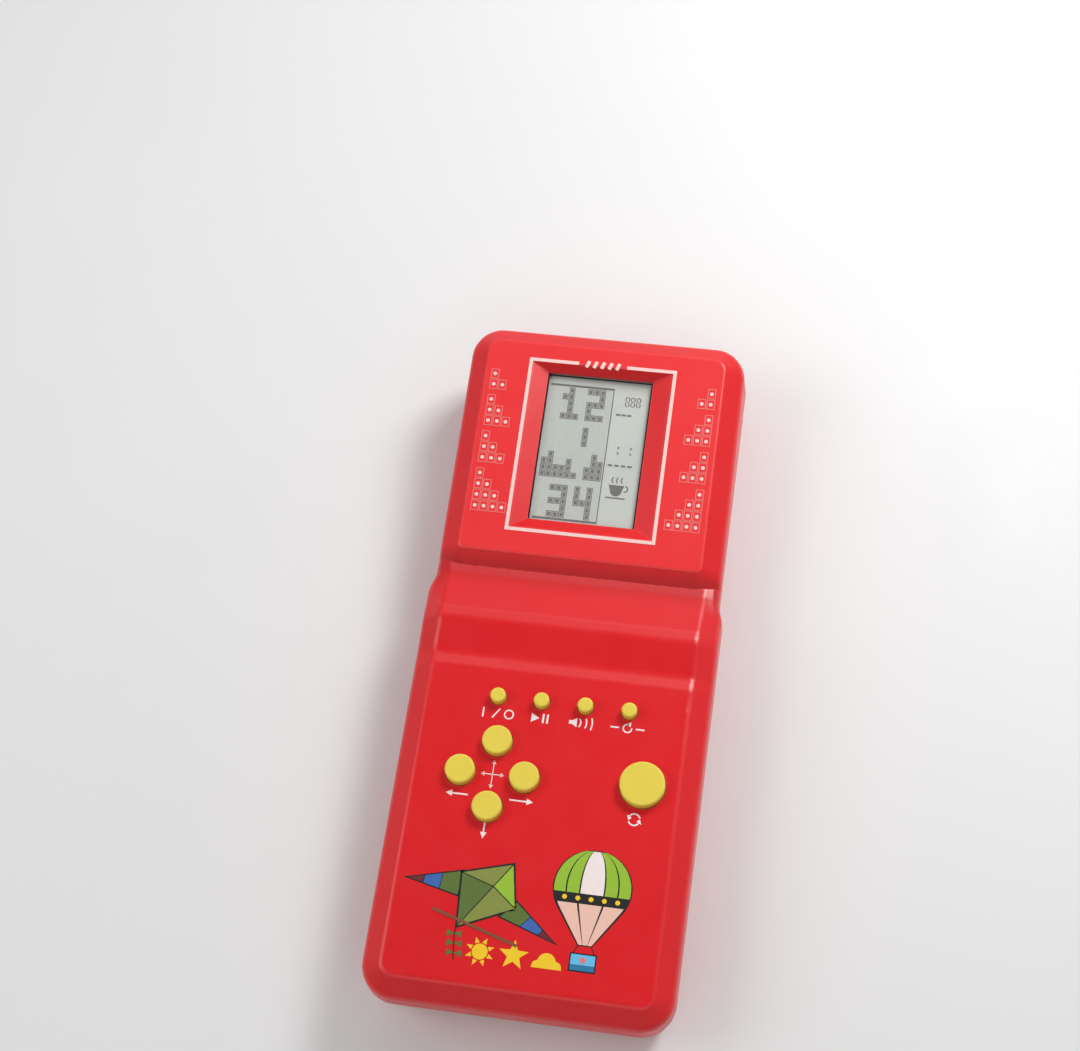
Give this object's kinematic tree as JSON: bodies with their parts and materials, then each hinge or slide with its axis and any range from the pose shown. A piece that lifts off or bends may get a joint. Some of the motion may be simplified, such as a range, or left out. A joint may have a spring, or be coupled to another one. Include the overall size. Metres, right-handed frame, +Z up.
{
  "type": "handheld lcd game",
  "caption": "Hand-held game with a sloping LCD screen end, ridged neck, wide hand grip with rubber keys, and a sliding battery door.",
  "frame": {"origin": "middle of the flat back, which rests on Z = 0", "axes": "+X across the width, +Y towards the screen end, +Z up out of the keys"},
  "size_m": [0.08, 0.188, 0.0288],
  "materials": {
    "red_case": "satin moulded styrene",
    "key_rubber": "matte silicone",
    "clear_window": "clear polished sheet",
    "polariser": "thin satin film",
    "lcd_glass": "clear glass",
    "lcd_back": "grey-green diffuse film",
    "contact_rubber": "carbon filled, matte",
    "inner_plastic": "plain moulded",
    "circuit_board": "paper board under green resist",
    "epoxy": "black epoxy",
    "capacitor_sleeve": "shrink sleeve",
    "ceramic_chip": "fired ceramic",
    "resistor_body": "lacquered",
    "brass_disc": "rolled",
    "piezo_silver": "silvered ceramic",
    "wire_red": "insulation",
    "wire_black": "insulation",
    "contact_metal": "nickel plated",
    "cell_can": "printed sleeve",
    "screw_steel": "zinc plated",
    "case_print": "screen-printed ink, white and several colours",
    "display_marks": "dark liquid crystal segments"
  },
  "bodies": {
    "root": {"action_key_sheet": "key_rubber", "battery_1": "cell_can", "battery_2": "cell_can", "battery_bridge_contact": "contact_metal", "battery_positive_contact": "contact_metal", "battery_spring_contact": "contact_metal", "battery_wire_black": "wire_black", "battery_wire_red": "wire_red", "board_screws": "screw_steel", "case_screws": "screw_steel", "ceramic_capacitors": "ceramic_chip", "chip_blob": "epoxy", "dome_down": "key_rubber", "dome_left": "key_rubber", "dome_power": "key_rubber", "dome_reset": "key_rubber", "dome_right": "key_rubber", "dome_rotate": "key_rubber", "dome_sound": "key_rubber", "dome_start": "key_rubber", "dome_up": "key_rubber", "electrolytic_capacitor": "capacitor_sleeve", "front_shell": "red_case", "function_key_sheet": "key_rubber", "lcd_front_glass": "lcd_glass", "lcd_front_polariser": "polariser", "lcd_holder": "inner_plastic", "lcd_rear_glass": "lcd_glass", "lcd_reflector": "lcd_back", "main_pcb": "circuit_board", "oscillator_resistor": "resistor_body", "piezo_ceramic": "piezo_silver", "piezo_disc": "brass_disc", "piezo_wires": "wire_red", "rear_shell": "red_case", "speaker_transistor": "epoxy", "window_lens": "clear_window", "zebra_connector": "contact_rubber"},
    "battery_door": {"battery_door": "red_case"},
    "key_power": {"key_power": "key_rubber", "pill_power": "contact_rubber"},
    "key_start": {"key_start": "key_rubber", "pill_start": "contact_rubber"},
    "key_sound": {"key_sound": "key_rubber", "pill_sound": "contact_rubber"},
    "key_reset": {"key_reset": "key_rubber", "pill_reset": "contact_rubber"},
    "key_up": {"key_up": "key_rubber", "pill_up": "contact_rubber"},
    "key_down": {"key_down": "key_rubber", "pill_down": "contact_rubber"},
    "key_left": {"key_left": "key_rubber", "pill_left": "contact_rubber"},
    "key_right": {"key_right": "key_rubber", "pill_right": "contact_rubber"},
    "key_rotate": {"key_rotate": "key_rubber", "pill_rotate": "contact_rubber"}
  },
  "joints": [
    {"name": "press_power", "type": "slide", "parent": "root", "child": "key_power", "axis": [0, 0, -1], "range_m": [0, 0.001], "stiffness_N_per_m": 1000, "springref_m": -0.0005, "deforming": ["dome_power"]},
    {"name": "press_start", "type": "slide", "parent": "root", "child": "key_start", "axis": [0, 0, -1], "range_m": [0, 0.001], "stiffness_N_per_m": 1000, "springref_m": -0.0005, "deforming": ["dome_start"]},
    {"name": "press_sound", "type": "slide", "parent": "root", "child": "key_sound", "axis": [0, 0, -1], "range_m": [0, 0.001], "stiffness_N_per_m": 1000, "springref_m": -0.0005, "deforming": ["dome_sound"]},
    {"name": "press_reset", "type": "slide", "parent": "root", "child": "key_reset", "axis": [0, 0, -1], "range_m": [0, 0.001], "stiffness_N_per_m": 1000, "springref_m": -0.0005, "deforming": ["dome_reset"]},
    {"name": "press_up", "type": "slide", "parent": "root", "child": "key_up", "axis": [0, 0, -1], "range_m": [0, 0.001], "stiffness_N_per_m": 1000, "springref_m": -0.0005, "deforming": ["dome_up"]},
    {"name": "press_down", "type": "slide", "parent": "root", "child": "key_down", "axis": [0, 0, -1], "range_m": [0, 0.001], "stiffness_N_per_m": 1000, "springref_m": -0.0005, "deforming": ["dome_down"]},
    {"name": "press_left", "type": "slide", "parent": "root", "child": "key_left", "axis": [0, 0, -1], "range_m": [0, 0.001], "stiffness_N_per_m": 1000, "springref_m": -0.0005, "deforming": ["dome_left"]},
    {"name": "press_right", "type": "slide", "parent": "root", "child": "key_right", "axis": [0, 0, -1], "range_m": [0, 0.001], "stiffness_N_per_m": 1000, "springref_m": -0.0005, "deforming": ["dome_right"]},
    {"name": "press_rotate", "type": "slide", "parent": "root", "child": "key_rotate", "axis": [0, 0, -1], "range_m": [0, 0.001], "stiffness_N_per_m": 1200, "springref_m": -0.0005, "deforming": ["dome_rotate"]},
    {"name": "battery_door_slide", "type": "slide", "parent": "root", "child": "battery_door", "axis": [0, -1, 0], "range_m": [0, 0.075]}
  ]
}
